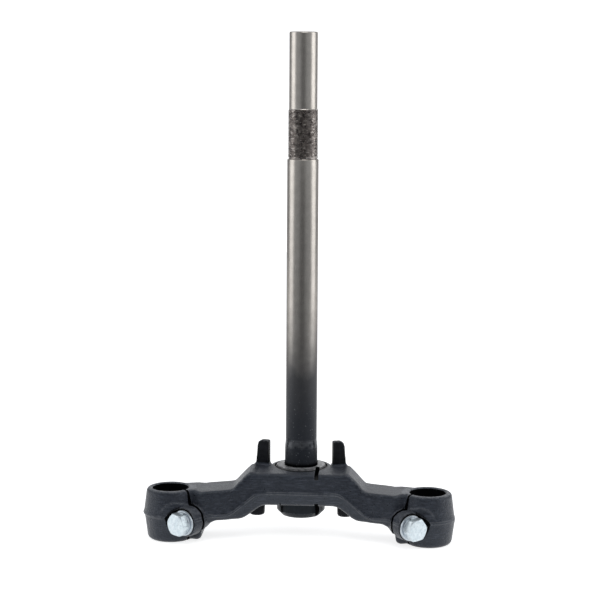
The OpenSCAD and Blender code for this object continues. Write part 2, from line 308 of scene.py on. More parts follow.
def stretched(tree, place, *scale):
    return put(tree, "Mapping", Vector=place, Scale=scale).outputs[0]


def noise(tree, place, size, detail=2.0, rough=0.5):
    """Noise from 0 to 1 whose features are about size millimetres wide."""
    made = put(tree, "TexNoise", Vector=place, Scale=1 / (size * MM))
    made.inputs["Detail"].default_value = detail
    made.inputs["Roughness"].default_value = rough
    return made.outputs["Fac"]


def mesh_value(tree, name):
    """Value of a mesh's own attribute."""
    return put(tree, "Attribute", settings={"attribute_name": name}).outputs["Fac"]


def new_material(name):
    material = bpy.data.materials.new(name)
    material.use_nodes = True
    tree = material.node_tree
    tree.nodes.clear()
    surface = put(tree, "BsdfPrincipled")
    output = put(tree, "OutputMaterial")
    tree.links.new(surface.outputs[0], output.inputs[0])
    place = put(tree, "TexCoord").outputs["Object"]
    return material, tree, surface, place


def feed(tree, surface, **outputs):
    for name, value in outputs.items():
        tree.links.new(value, surface.inputs[name.replace("_", " ")])


def bump(tree, surface, height, distance):
    """Feeds the normal from a height of 0 to 1; distance is in millimetres."""
    made = put(tree, "Bump", Height=height, Distance=distance * MM)
    tree.links.new(made.outputs[0], surface.inputs["Normal"])


def new_group(name, inputs, outputs):
    """Node group with a vector input, named number inputs and named number outputs."""
    group = bpy.data.node_groups.new(name, "ShaderNodeTree")
    group.interface.new_socket("Place", in_out="INPUT", socket_type="NodeSocketVector")
    for label, value in inputs.items():
        socket = group.interface.new_socket(label, in_out="INPUT", socket_type="NodeSocketFloat")
        socket.default_value = value
    for label in outputs:
        group.interface.new_socket(label, in_out="OUTPUT", socket_type="NodeSocketFloat")
    start = group.nodes.new("NodeGroupInput")
    end = group.nodes.new("NodeGroupOutput")
    return group, start, end


def use_group(tree, group, place, **values):
    made = tree.nodes.new("ShaderNodeGroup")
    made.node_tree = group
    tree.links.new(place, made.inputs["Place"])
    for name, value in values.items():
        made.inputs[name.replace("_", " ")].default_value = value
    return made.outputs


# Parts of a noise from 0 to 1 that count as a speck, a mottle and a scratch
SPECK_CREST = (0.68, 0.78)
MOTTLE_RANGE = (0.3, 0.7)
SCRATCH_CREST = (0.62, 0.72)
SCRATCH_KEPT = (0.45, 0.65)

# Scratches run along Z: noise features per metre along each axis, and of the gaps between scratches
SCRATCH_SCALE = (2600, 2600, 90)
SCRATCH_GAP_SCALE = 70.0


def make_grain_group():
    """Fine pits, broad waviness and light specks; sizes are in millimetres."""
    group, start, end = new_group(
        "surface_grain",
        {"Fine size": 0.7, "Broad size": 9.0, "Broad share": 0.5, "Speck size": 0.9},
        ["Height", "Mottle", "Specks"],
    )

    def layer(label, detail):
        frequency = calc(group, "DIVIDE", 1 / MM, start.outputs[label])
        made = put(group, "TexNoise", Vector=start.outputs["Place"], Scale=frequency)
        made.inputs["Detail"].default_value = detail
        return made.outputs["Fac"]

    broad = layer("Broad size", 3.0)
    waves = times(group, broad, start.outputs["Broad share"])
    height = calc(group, "ADD", layer("Fine size", 3.0), waves)
    group.links.new(height, end.inputs["Height"])
    group.links.new(span(group, broad, *MOTTLE_RANGE), end.inputs["Mottle"])
    group.links.new(span(group, layer("Speck size", 1.0), *SPECK_CREST), end.inputs["Specks"])
    return group


def make_scratch_group():
    """Thin scratches along one direction: long noise, cut to its crests and broken up."""
    group, start, end = new_group("scratches", {"Amount": 0.5}, ["Mask"])
    place = start.outputs["Place"]
    lines = put(group, "TexNoise", Vector=stretched(group, place, *SCRATCH_SCALE), Scale=1.0)
    lines.inputs["Detail"].default_value = 3.0
    gaps = put(group, "TexNoise", Vector=place, Scale=SCRATCH_GAP_SCALE)
    crest = span(group, lines.outputs["Fac"], *SCRATCH_CREST)
    kept = span(group, gaps.outputs["Fac"], *SCRATCH_KEPT)
    mask = times(group, times(group, crest, kept), start.outputs["Amount"])
    group.links.new(mask, end.inputs["Mask"])
    return group


# Materials; colours are in linear light

# Black coat over the forged skin, from its depth to its wear and painted highlights, and the tint of its
# gloss
COAT_DEEP = (0.003, 0.004, 0.0085)
COAT_THIN = (0.007, 0.0095, 0.0165)
COAT_CLOUD = (0.024, 0.029, 0.044)
COAT_HUB = (0.034, 0.039, 0.050)
COAT_STREAK = (0.056, 0.063, 0.083)
COAT_TOP = (0.036, 0.040, 0.050)
COAT_TOP_CLOUD = (0.08, 0.085, 0.098)
COAT_DUST = (0.15, 0.155, 0.165)
COAT_WEAR_AND_HIGHLIGHT = (0.22, 0.23, 0.25)
COAT_GLOSS = (0.84, 0.91, 1.0, 1)

# Distance from the middle, in metres, over which the hub's look turns into the arms'
HUB_TO_ARM = (0.028, 0.040)

# Edges of the noise that breaks the wear and the painted highlights into patches
WORN_PATCH_SIZE = 2.5
WORN_PATCH = (0.3, 0.6)

# Light lines beside the middle of the flash, partly trim marks and partly painted highlight: their distance
# from it, and where each fades and is full
TRIM_OFFSET = 0.9
TRIM_FADE = (0.8, 0.1)


def soft_corner(tree, value, at, width):
    """Zero before a corner and straight after it, with the corner rounded over a width on each side."""
    past = calc(tree, "SUBTRACT", value, at)
    bend = span(tree, past, -width, width, 0.0, 2 * width)
    curve = calc(tree, "DIVIDE", times(tree, bend, bend), 4.0 * width)
    rest = calc(tree, "MAXIMUM", calc(tree, "SUBTRACT", past, width), 0.0)
    return calc(tree, "ADD", curve, rest)


def parting_lines(tree, axes):
    """Two thin light lines along the flash, partly trim marks where it was cut off the forging and partly
    painted highlight.
    """
    out = times(tree, calc(tree, "ABSOLUTE", axes["X"]), 1 / MM)
    up = times(tree, axes["Z"], 1 / MM)
    start, end = PARTING_BEND
    low, high = PARTING_Z
    first = soft_corner(tree, out, start, PARTING_ROUND)
    last = soft_corner(tree, out, end, PARTING_ROUND)
    bend = calc(tree, "SUBTRACT", first, last)
    line = calc(tree, "MULTIPLY_ADD", bend, (high - low) / (end - start), low)
    off = calc(tree, "ABSOLUTE", calc(tree, "SUBTRACT", up, line))
    return span(tree, calc(tree, "ABSOLUTE", calc(tree, "SUBTRACT", off, TRIM_OFFSET)), *TRIM_FADE)


def make_black_coat(grain):
    """Satin black coat over the forged skin, with dust, rubbed edges, and painted highlights on the bosses,
    the pads and along the flash.
    """
    material, tree, surface, place = new_material("black_coat")
    axes = put(tree, "SeparateXYZ", place).outputs
    skin = use_group(
        tree, grain, place, Fine_size=1.0, Broad_size=6.0, Broad_share=1.2, Speck_size=1.3
    )
    top = mesh_value(tree, "top_face")
    patches = span(tree, noise(tree, place, WORN_PATCH_SIZE), *WORN_PATCH)
    streaks = span(tree, noise(tree, stretched(tree, place, 0.09, 0.5, 1), 0.9, 3.0), 0.52, 0.68)
    broken = span(tree, noise(tree, stretched(tree, place, 1, 1, 0.3), 7.0, 3.0), 0.36, 0.52)
    cloud = span(tree, noise(tree, place, 1.8, 4.0, 0.7), 0.35, 0.7)
    # Light flash lines: partly trim marks, partly painted highlight.
    trim_and_highlight_lines = times(tree, parting_lines(tree, axes), times(tree, broken, 0.5))
    # Wear and painted highlights from the edge attribute, in patches, together with the flash lines.
    wear_and_highlight = calc(tree, "MULTIPLY", mesh_value(tree, "edge"), patches, clamp=True)
    wear_and_highlight = calc(tree, "MAXIMUM", wear_and_highlight, trim_and_highlight_lines)

    out = calc(tree, "ABSOLUTE", axes["X"])
    colour = blend_colour(tree, skin["Mottle"], COAT_DEEP, COAT_THIN)
    colour = lay(tree, colour, COAT_CLOUD, cloud, 0.5)
    colour = lay(tree, colour, COAT_HUB, span(tree, out, *HUB_TO_ARM, 0.3, 0.0))
    colour = lay(tree, colour, COAT_STREAK, streaks, span(tree, out, *HUB_TO_ARM, 0.95, 0.6))
    colour = lay(tree, colour, COAT_TOP, top, 0.5)
    colour = lay(tree, colour, COAT_TOP_CLOUD, times(tree, cloud, top), 0.5)
    colour = lay(tree, colour, COAT_DUST, skin["Specks"], calc(tree, "MULTIPLY_ADD", top, 0.55, 0.2))
    colour = lay(tree, colour, COAT_WEAR_AND_HIGHLIGHT, wear_and_highlight, 0.7)
    rough = span(tree, cloud, 0.0, 1.0, 0.27, 0.45)
    rough = calc(tree, "SUBTRACT", rough, times(tree, wear_and_highlight, 0.06))
    rough = calc(tree, "ADD", rough, times(tree, top, 0.12))
    feed(tree, surface, Base_Color=colour, Roughness=rough)
    surface.inputs["Specular IOR Level"].default_value = 0.47
    surface.inputs["Specular Tint"].default_value = COAT_GLOSS
    bump(tree, surface, skin["Height"], 0.5)
    return material


def make_shadow_cut_coat(grain):
    """The same black coat over a machined face, smoother and with fine tool lines, made near black and dull
    to paint the shade inside bores, slots, holes and the groove.
    """
    material, tree, surface, place = new_material("machined_face_painted_shadow")
    skin = use_group(tree, grain, place, Fine_size=0.4, Broad_size=5.0, Broad_share=0.5)
    colour = blend_colour(tree, skin["Mottle"], (0.0006, 0.0007, 0.001), (0.0016, 0.0018, 0.0024))
    feed(tree, surface, Base_Color=colour)
    surface.inputs["Roughness"].default_value = 0.5
    surface.inputs["Specular IOR Level"].default_value = 0.06
    lines = put(tree, "TexWave", Vector=place, Scale=900.0, Distortion=0.6)
    lines.bands_direction = "Z"
    bump(tree, surface, calc(tree, "ADD", lines.outputs["Fac"], skin["Height"]), 0.03)
    return material


def make_shade_coat(name, dark, light, gloss, grain):
    """Black coat darker and duller than the forged skin: painted shade on the ears and lugs, and partly
    painted shade on the turned boss underneath; lighter on its edges by the wear and painted highlights of
    the edge attribute.
    """
    material, tree, surface, place = new_material(name)
    skin = use_group(
        tree, grain, place, Fine_size=0.7, Broad_size=4.0, Broad_share=0.8, Speck_size=0.8
    )
    patches = span(tree, noise(tree, place, WORN_PATCH_SIZE), *WORN_PATCH)
    # Wear and painted highlights from the edge attribute, in patches.
    wear_and_highlight = times(tree, mesh_value(tree, "edge"), patches)
    colour = blend_colour(tree, skin["Mottle"], dark, light)
    colour = lay(tree, colour, (0.08, 0.09, 0.10), skin["Specks"], 0.3)
    colour = lay(tree, colour, (0.16, 0.165, 0.18), wear_and_highlight, 0.8)
    feed(tree, surface, Base_Color=colour)
    surface.inputs["Roughness"].default_value = 0.42
    surface.inputs["Specular IOR Level"].default_value = gloss
    surface.inputs["Specular Tint"].default_value = COAT_GLOSS
    bump(tree, surface, skin["Height"], 0.12)
    return material


def make_ring_face():
    """Turned ring under the bearing: bare grey steel with round tool marks."""
    material, tree, surface, place = new_material("turned_ring_face")
    rings = put(tree, "TexWave", Vector=place, Scale=620.0, Distortion=0.4)
    rings.wave_type = "RINGS"
    rings.rings_direction = "Z"
    stain = span(tree, noise(tree, place, 4.0, 3.0), 0.4, 0.65)
    colour = blend_colour(tree, stain, (0.36, 0.36, 0.365), (0.16, 0.16, 0.165))
    feed(tree, surface, Base_Color=colour, Roughness=span(tree, stain, 0.0, 1.0, 0.44, 0.56))
    surface.inputs["Metallic"].default_value = 0.4
    bump(tree, surface, rings.outputs["Fac"], 0.02)
    return material


# Height in millimetres and share of bare steel showing through the black fade; height of the scale
STEM_FADE = (
    (20, 0.01), (41, 0.02), (74, 0.07), (107, 0.40),
    (140, 0.66), (172, 0.80), (238, 0.93), (275, 1.0),
)
FADE_SCALE = 300
FADE_WANDER = 9 * MM

# Heights in metres: speckled foot, dark lip, dull foot, and both flanks of the shoulder with its painted
# highlight
SPECKLED = (0.08, 0.015)
DARK_LIP = (0.0045, 0.0015)
DULL_FOOT = (0.014, 0.006)
SHOULDER_LOW = (0.0145, 0.0170)
SHOULDER_HIGH = (0.0235, 0.0205)

# Steel and the black over it
STEEL_LIGHT = (0.675, 0.635, 0.585)
STEEL_DARK = (0.57, 0.535, 0.49)
STEEL_SCRATCH = (0.40, 0.38, 0.35)
STEEL_SPECKLE = (0.36, 0.34, 0.31)
STEEL_GLOSS = (0.45, 0.45, 0.46, 1)
STEM_BLACK = (0.0115, 0.0150, 0.0220)
STEM_SPECK = (0.26, 0.27, 0.28)
STEM_LIP = (0.004, 0.004, 0.005)
STEM_SHOULDER_HIGHLIGHT = (0.10, 0.105, 0.115)


def make_stem_steel(grain, scratches):
    """Ground steel tube that fades into black towards its foot."""
    material, tree, surface, place = new_material("bare_steel")
    height = put(tree, "SeparateXYZ", place).outputs["Z"]
    drift = stretched(tree, place, 1, 1, 0.35)
    wander = span(tree, noise(tree, drift, 9.0, 3.0), 0.0, 1.0, -FADE_WANDER, FADE_WANDER)
    level = span(tree, calc(tree, "ADD", height, wander), 0.0, FADE_SCALE * MM)
    fade = put(tree, "ValToRGB", level)
    stops = fade.color_ramp.elements
    while len(stops) < len(STEM_FADE):
        stops.new(0.5)
    for stop, (z, share) in zip(stops, STEM_FADE):
        stop.position = z / FADE_SCALE
        stop.color = (share, share, share, 1)
    bare = fade.outputs[0]

    skin = use_group(
        tree, grain, place, Fine_size=0.35, Broad_size=6.0, Broad_share=0.4, Speck_size=1.6
    )
    marks = use_group(tree, scratches, place, Amount=0.5)["Mask"]
    speckle = span(tree, noise(tree, place, 0.9, 4.0, 0.75), 0.45, 0.75)
    lip = span(tree, height, *DARK_LIP)
    shoulder = times(tree, span(tree, height, *SHOULDER_LOW), span(tree, height, *SHOULDER_HIGH))
    # Painted highlight on the shoulder, broken into patches.
    shoulder_highlight = times(tree, shoulder, span(tree, noise(tree, place, 5.0), 0.35, 0.6))

    steel = blend_colour(tree, skin["Mottle"], STEEL_LIGHT, STEEL_DARK)
    steel = lay(tree, steel, STEEL_SCRATCH, marks)
    steel = lay(tree, steel, STEEL_SPECKLE, speckle, 0.45)
    colour = blend_colour(tree, bare, STEM_BLACK, steel)
    colour = lay(
        tree, colour, STEM_SPECK, skin["Specks"], times(tree, span(tree, height, *SPECKLED), 0.55)
    )
    colour = lay(tree, colour, STEM_LIP, lip)
    colour = lay(tree, colour, STEM_SHOULDER_HIGHLIGHT, shoulder_highlight, 0.7)
    rough = span(tree, bare, 0.0, 0.4, 0.40, 0.28)
    rough = calc(tree, "ADD", rough, span(tree, height, *DULL_FOOT, 0.0, 0.3))
    rough = calc(tree, "SUBTRACT", rough, times(tree, shoulder, 0.2))
    metal = calc(tree, "MAXIMUM", span(tree, bare, 0.0, 0.3, 0.3, 1.0), lip)
    feed(tree, surface, Base_Color=colour, Roughness=rough, Metallic=metal)
    surface.inputs["Specular Tint"].default_value = STEEL_GLOSS
    bump(tree, surface, calc(tree, "ADD", skin["Height"], marks), 0.02)
    return material


def make_thread_finish(grain):
    """Dark oiled thread with rust brown dirt in its roots and small bright glints, a painted highlight."""
    material, tree, surface, place = new_material("oiled_thread")
    skin = use_group(
        tree, grain, place, Fine_size=0.6, Broad_size=3.0, Broad_share=0.8, Speck_size=1.4
    )
    # Painted glints of light along the thread.
    painted_glint = span(tree, noise(tree, stretched(tree, place, 0.55, 0.55, 1.8), 1.7, 3.0, 0.7), 0.53, 0.66)
    colour = blend_colour(tree, skin["Mottle"], (0.09, 0.077, 0.073), (0.38, 0.345, 0.325))
    colour = lay(tree, colour, (0.92, 0.88, 0.84), painted_glint, 0.75)
    rough = span(tree, skin["Mottle"], 0.0, 1.0, 0.22, 0.36)
    feed(tree, surface, Base_Color=colour, Roughness=rough)
    surface.inputs["Metallic"].default_value = 1.0
    bump(tree, surface, skin["Height"], 0.06)
    return material


def make_zinc(name, light, dark, rough_low, rough_high, grain):
    """Zinc plating: bluish white with soft spangles and dull patches."""
    material, tree, surface, place = new_material(name)
    skin = use_group(
        tree, grain, place, Fine_size=0.5, Broad_size=2.6, Broad_share=0.9, Speck_size=0.8
    )
    dull = span(tree, noise(tree, place, 1.5, 3.0, 0.65), 0.45, 0.7)
    colour = blend_colour(tree, skin["Mottle"], light, dark)
    colour = lay(tree, colour, (0.30, 0.34, 0.38), dull, 0.3)
    rough = span(tree, dull, 0.0, 1.0, rough_low, rough_high)
    feed(tree, surface, Base_Color=colour, Roughness=rough)
    surface.inputs["Metallic"].default_value = 0.75
    bump(tree, surface, skin["Height"], 0.05)
    return material


# Stage: sizes and places in metres, lamp directions in degrees from the camera's side

STAGE_WHITE = (0.82, 0.82, 0.82, 1)
FLOOR_GLOW = 0.79
FLOOR_Z = (CLAMP_BOTTOM - 0.2) * MM
FLOOR_HALF_W = 2
FLOOR_FRONT = -0.45
FLOOR_BACK = 2.2
BACK_GLOW = 1.0
BACK_HALF_W = 1.4
BACK_Y = 2.1
BACK_TOP = 2.0
SIDE_DISTANCE = 1.25
SIDE_DIRECTION = 89.0
SIDE_HEIGHT = 0.35
SIDE_AIM = (0, 0, 0.1)
SIDE_SIZE = (0.85, 1.7)
SIDE_LEVEL = {-1: 1.12, 1: 1.28}
KEY_PLACE = (0.25, -0.95, 1.5)
KEY_AIM = (0, 0, 0)
KEY_SIZE = (1.1, 0.8)
KEY_LEVEL = 2.3

# World as the object sees it: dim ahead and behind, lighter to the sides and from above
ROOM_TINT = (0.93, 0.96, 1.0, 1)
ROOM_SIDEWAYS = (0.2, 0.5)
ROOM_LEVELS = (0.13, 0.34)
ROOM_ABOVE = (0.3, 0.9)
ROOM_ABOVE_LEVELS = (0.0, 0.2)


def camera_white(tree, strength):
    """Emission that only camera, glossy and transmission rays see."""
    path = put(tree, "LightPath").outputs
    seen = calc(tree, "MAXIMUM", path["Is Camera Ray"], path["Is Glossy Ray"])
    seen = calc(tree, "MAXIMUM", seen, path["Is Transmission Ray"])
    return put(tree, "Emission", Strength=times(tree, seen, strength)).outputs[0]


def plane(name, half_w, ends, material):
    """Stage sheet between two level edges, each given by its y and z."""
    first, last = ends
    corners = [(-half_w, *first), (half_w, *first), (half_w, *last), (-half_w, *last)]
    bm = bmesh.new()
    bm.faces.new([bm.verts.new(corner) for corner in corners])
    make_object(name, bm, material)


def stage_material(name, strength, open_behind):
    """White diffuse paint with a glow for the camera; the back of the floor is see-through."""
    material = bpy.data.materials.new(name)
    material.use_nodes = True
    tree = material.node_tree
    tree.nodes.clear()
    paint = put(tree, "BsdfDiffuse", Color=STAGE_WHITE).outputs[0]
    both = put(tree, "AddShader", paint, camera_white(tree, strength)).outputs[0]
    if open_behind:
        behind = put(tree, "NewGeometry").outputs["Backfacing"]
        clear = put(tree, "BsdfTransparent").outputs[0]
        both = put(tree, "MixShader", behind, both, clear).outputs[0]
    put(tree, "OutputMaterial", both)
    material.cycles.emission_sampling = "NONE"
    return material


def lamp(name, place, aim, size, radiance):
    """Area lamp whose face has the given brightness, where 1 is white."""
    width, height = size
    data = bpy.data.lights.new(name, "AREA")
    data.shape = "RECTANGLE"
    data.size, data.size_y = width, height
    data.energy = radiance * math.pi * width * height
    made = bpy.data.objects.new(name, data)
    bpy.context.scene.collection.objects.link(made)
    toward = Vector(aim) - Vector(place)
    made.matrix_world = Matrix.Translation(place) @ toward.to_track_quat("-Z", "Y").to_matrix().to_4x4()
    made.visible_camera = False


def make_world():
    """White for the camera, and a dim room for everything else."""
    world = bpy.data.worlds.new("studio")
    bpy.context.scene.world = world
    world.use_nodes = True
    tree = world.node_tree
    tree.nodes.clear()
    heading = math.radians(CAMERA_HEADING)
    toward = put(tree, "TexCoord").outputs["Generated"]
    sideways = put(
        tree, "VectorMath", toward, (math.cos(heading), math.sin(heading), 0),
        settings={"operation": "DOT_PRODUCT"},
    ).outputs["Value"]
    level = span(tree, calc(tree, "ABSOLUTE", sideways), *ROOM_SIDEWAYS, *ROOM_LEVELS)
    above = put(tree, "SeparateXYZ", toward).outputs["Z"]
    level = calc(tree, "ADD", level, span(tree, above, *ROOM_ABOVE, *ROOM_ABOVE_LEVELS))
    room = put(tree, "Background", ROOM_TINT, level).outputs[0]
    shown = put(tree, "Background", (1, 1, 1, 1), 1.0).outputs[0]
    seen = put(tree, "LightPath").outputs["Is Camera Ray"]
    put(tree, "OutputWorld", put(tree, "MixShader", seen, room, shown).outputs[0])


def make_stage():
    floor_ends = (FLOOR_FRONT, FLOOR_Z), (FLOOR_BACK, FLOOR_Z)
    plane("floor", FLOOR_HALF_W, floor_ends, stage_material("floor_white", FLOOR_GLOW, True))
    back_ends = (BACK_Y, FLOOR_Z), (BACK_Y, BACK_TOP)
    plane("backdrop", BACK_HALF_W, back_ends, stage_material("backdrop_white", BACK_GLOW, False))
    for side in (-1, 1):
        turn = math.radians(SIDE_DIRECTION * side + CAMERA_HEADING)
        place = (SIDE_DISTANCE * math.sin(turn), -SIDE_DISTANCE * math.cos(turn), SIDE_HEIGHT)
        lamp(f"side_softbox_{side}", place, SIDE_AIM, SIDE_SIZE, SIDE_LEVEL[side])
    lamp("key_softbox", KEY_PLACE, KEY_AIM, KEY_SIZE, KEY_LEVEL)
    make_world()
    bpy.context.scene.view_settings.view_transform = "Standard"


# Mesh helpers, all in millimetres


def make_object(name, bm, material=None):
    mesh = bpy.data.meshes.new(name)
    bm.to_mesh(mesh)
    bm.free()
    made = bpy.data.objects.new(name, mesh)
    bpy.context.scene.collection.objects.link(made)
    if material:
        mesh.materials.append(material)
    return made


def drop(made):
    mesh = made.data
    bpy.data.objects.remove(made)
    bpy.data.meshes.remove(mesh)


def apply_modifiers(made):
    graph = bpy.context.evaluated_depsgraph_get()
    mesh = bpy.data.meshes.new_from_object(made.evaluated_get(graph), depsgraph=graph)
    old = made.data
    made.modifiers.clear()
    made.data = mesh
    bpy.data.meshes.remove(old)


def combine(base, other, how):
    """Boolean of two objects; the second one is used up."""
    step = base.modifiers.new("cut", "BOOLEAN")
    step.operation = how
    step.solver = "MANIFOLD"
    step.material_mode = "TRANSFER"
    step.object = other
    apply_modifiers(base)
    drop(other)


def spin(bm, geom, steps, angle=FULL_TURN, climb=0.0, merge=False):
    """Turns geometry round Z; climb is its rise at each step."""
    bmesh.ops.spin(
        bm, geom=geom, cent=(0, 0, 0), axis=(0, 0, 1), dvec=(0, 0, climb),
        angle=angle, steps=steps, use_merge=merge, use_duplicate=False,
    )


def spun(outline, steps=ROUND_STEPS, closed=False):
    """Outline of radius and height points turned round Z; closed joins its last point to the first."""
    bm = bmesh.new()
    verts = [bm.verts.new((r, 0, z)) for r, z in outline]
    pairs = list(zip(verts, verts[1:]))
    if closed:
        pairs.append((verts[-1], verts[0]))
    edges = [bm.edges.new(pair) for pair in pairs]
    spin(bm, verts + edges, steps, merge=True)
    bmesh.ops.remove_doubles(bm, verts=bm.verts, dist=TURNED_MERGE)
    bmesh.ops.recalc_face_normals(bm, faces=bm.faces)
    return bm


def block(low, high):
    bm = bmesh.new()
    bmesh.ops.create_cube(bm, size=1)
    size = [b - a for a, b in zip(low, high)]
    middle = [(a + b) / 2 for a, b in zip(low, high)]
    bmesh.ops.scale(bm, vec=size, verts=bm.verts)
    bmesh.ops.translate(bm, vec=middle, verts=bm.verts)
    return bm


def placed(bm, matrix):
    bmesh.ops.transform(bm, matrix=matrix, verts=bm.verts)
    bmesh.ops.recalc_face_normals(bm, faces=bm.faces)
    return bm


def rod(r, bottom, top, matrix, steps=ROUND_STEPS):
    return placed(spun([(0, bottom), (r, bottom), (r, top), (0, top)], steps), matrix)


def band(inner, outer, bottom, top):
    """Closed outline of a flat ring."""
    return [(inner, bottom), (outer, bottom), (outer, top), (inner, top)]


def bore_outline(r, bottom, top):
    """Through bore with a chamfer at each end, as a solid to cut with."""
    c = EDGE_CHAMFER
    mouth = r + c + OVERCUT
    return [
        (0, bottom - OVERCUT), (mouth, bottom - OVERCUT), (r, bottom + c),
        (r, top - c), (mouth, top + OVERCUT), (0, top + OVERCUT),
    ]


def at_clamp(side):
    """Frame of one clamp: +X from the slit to the bolt head, -Y along the slit."""
    flip = Matrix.Diagonal((side, 1, 1, 1))
    turn = Matrix.Rotation(math.radians(-SLIT_ANGLE), 4, "Z")
    return flip @ Matrix.Translation((FORK_X, FORK_Y, 0)) @ turn


def on_bolt(side):
    """Frame of one pinch bolt: +Z from the slit to the bolt head."""
    tip = Matrix.Rotation(math.pi / 2, 4, "Y")
    return at_clamp(side) @ Matrix.Translation((0, -BOLT_REACH, BOLT_Z)) @ tip


def finish_piece(made, name, nodes=(), sharp=35):
    """Millimetres to metres, smooth shading with sharp edges, and its place in the frame."""
    made.name = name
    made.data.name = name
    made.data.transform(Matrix.Scale(MM, 4))
    made.data.shade_smooth()
    made.data.set_sharp_from_angle(angle=math.radians(sharp))
    made.data.update()
    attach(made, "root")
    if nodes:
        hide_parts(*nodes)


# Meshes as arrays


def read_points(mesh):
    points = np.empty(len(mesh.vertices) * 3)
    mesh.vertices.foreach_get("co", points)
    return points.reshape(-1, 3)


def write_points(mesh, points):
    mesh.vertices.foreach_set("co", points.ravel())
    mesh.update()


def read_normals(mesh):
    normals = np.empty(len(mesh.vertices) * 3)
    mesh.vertex_normals.foreach_get("vector", normals)
    return normals.reshape(-1, 3)


def read_edges(mesh):
    """First and second vertex of every edge."""
    ends = np.empty(len(mesh.edges) * 2, dtype=np.int64)
    mesh.edges.foreach_get("vertices", ends)
    return ends.reshape(-1, 2).T


def neighbours(a, b, count):
    """How many vertices each vertex is joined to."""
    return np.bincount(a, minlength=count) + np.bincount(b, minlength=count)


def neighbour_middle(points, a, b):
    """Middle of the vertices that each vertex is joined to."""
    count = len(points)
    total = np.stack(
        [np.bincount(a, points[b, k], count) + np.bincount(b, points[a, k], count) for k in range(3)], 1
    )
    return total / neighbours(a, b, count)[:, None]


def ramp(value, start, width):
    """Zero up to the start, then straight up to 1 over the width."""
    return np.clip((value - start) / width, 0, 1)


# Forged bridge

# Crests and upward faces: where each begins and over what it grows to full
CREST = (0.06, 0.14)
TOP_FACE = (0.5, 0.4)
BOSS_TOP = (0.35, 0.4)
NECK_TOP = (0.2, 0.3)
CROWN_TOP = (0.15, 0.5)

# Bands of painted highlight on the bosses, the pads and the bosses' rear, and of wear on the clamp rims:
# share of the full mark, and the distances that bound each band
BOSS_HIGHLIGHT, BOSS_BAND = 0.4, 1.6
PAD_HIGHLIGHT, PAD_BAND = 0.55, 0.9
RIM_WEAR, RIM_BAND, RIM_H = 0.5, 1.5, 1
NECK_HIGHLIGHT, NECK_R, NECK_BAND = 0.5, 13, 1.5

# Shares by which details keep their form while the skin relaxes, and the bands that they fill
RIDGE_HOLD, RIDGE_HALF_H = 0.85, 2.2
DETAIL_HOLD = 0.9
RING_BAND, RING_H = 3.5, 3
ROOT_BAND = 5
BOSS_HOLD_BAND = 3

# Dark coat as painted shade: how far its shadow reaches round the bolt heads and its shade in front of the
# ring
HEAD_SHADOW_W = 1.5
HEAD_SHADOW_REACH = 12
RING_SHADE = 2.2
RING_SHADE_W = 2.1
RING_SHADE_H = 2


def soften(mesh, rounds, pull_in, pull_out, hold):
    """Relaxes a mesh: hollows fill by pull_in, crests give way by pull_out, held points stay."""
    points = read_points(mesh)
    a, b = read_edges(mesh)
    free = 1 - hold(points)
    for step in range(rounds):
        if step % NORMALS_EVERY == 0:
            write_points(mesh, points)
            normals = read_normals(mesh)
        move = neighbour_middle(points, a, b) - points
        outward = (move * normals).sum(1)
        points = points + move * (np.where(outward > 0, pull_in, pull_out) * free)[:, None]
    write_points(mesh, points)


def bolt_distances(points, side):
    """Distance of each point from a bolt's axis and its place along that axis."""
    back = np.array(on_bolt(side).inverted())
    local = points @ back[:3, :3].T + back[:3, 3]
    return np.hypot(local[:, 0], local[:, 1]), local[:, 2]


def pad_share(points, side):
    """How far above the bolt a point is, from 0 to 1, and its distance inside the edge of the pad there."""
    reach, along = bolt_distances(points, side)
    upper = ramp((points[:, 2] - BOLT_Z) / np.maximum(reach, 1), 0.3, 0.3)
    upper = upper * ramp(along, -3, 2) * (along < PAD_END)
    return upper, np.minimum(PAD_R + PAD_SPREAD * along, PAD_MOST_R) - reach


def in_under_boss(points, play):
    from_stem = np.hypot(points[:, 0], points[:, 1])
    return (from_stem < UNDER_R + play) & (points[:, 2] < UNDER_TOP)


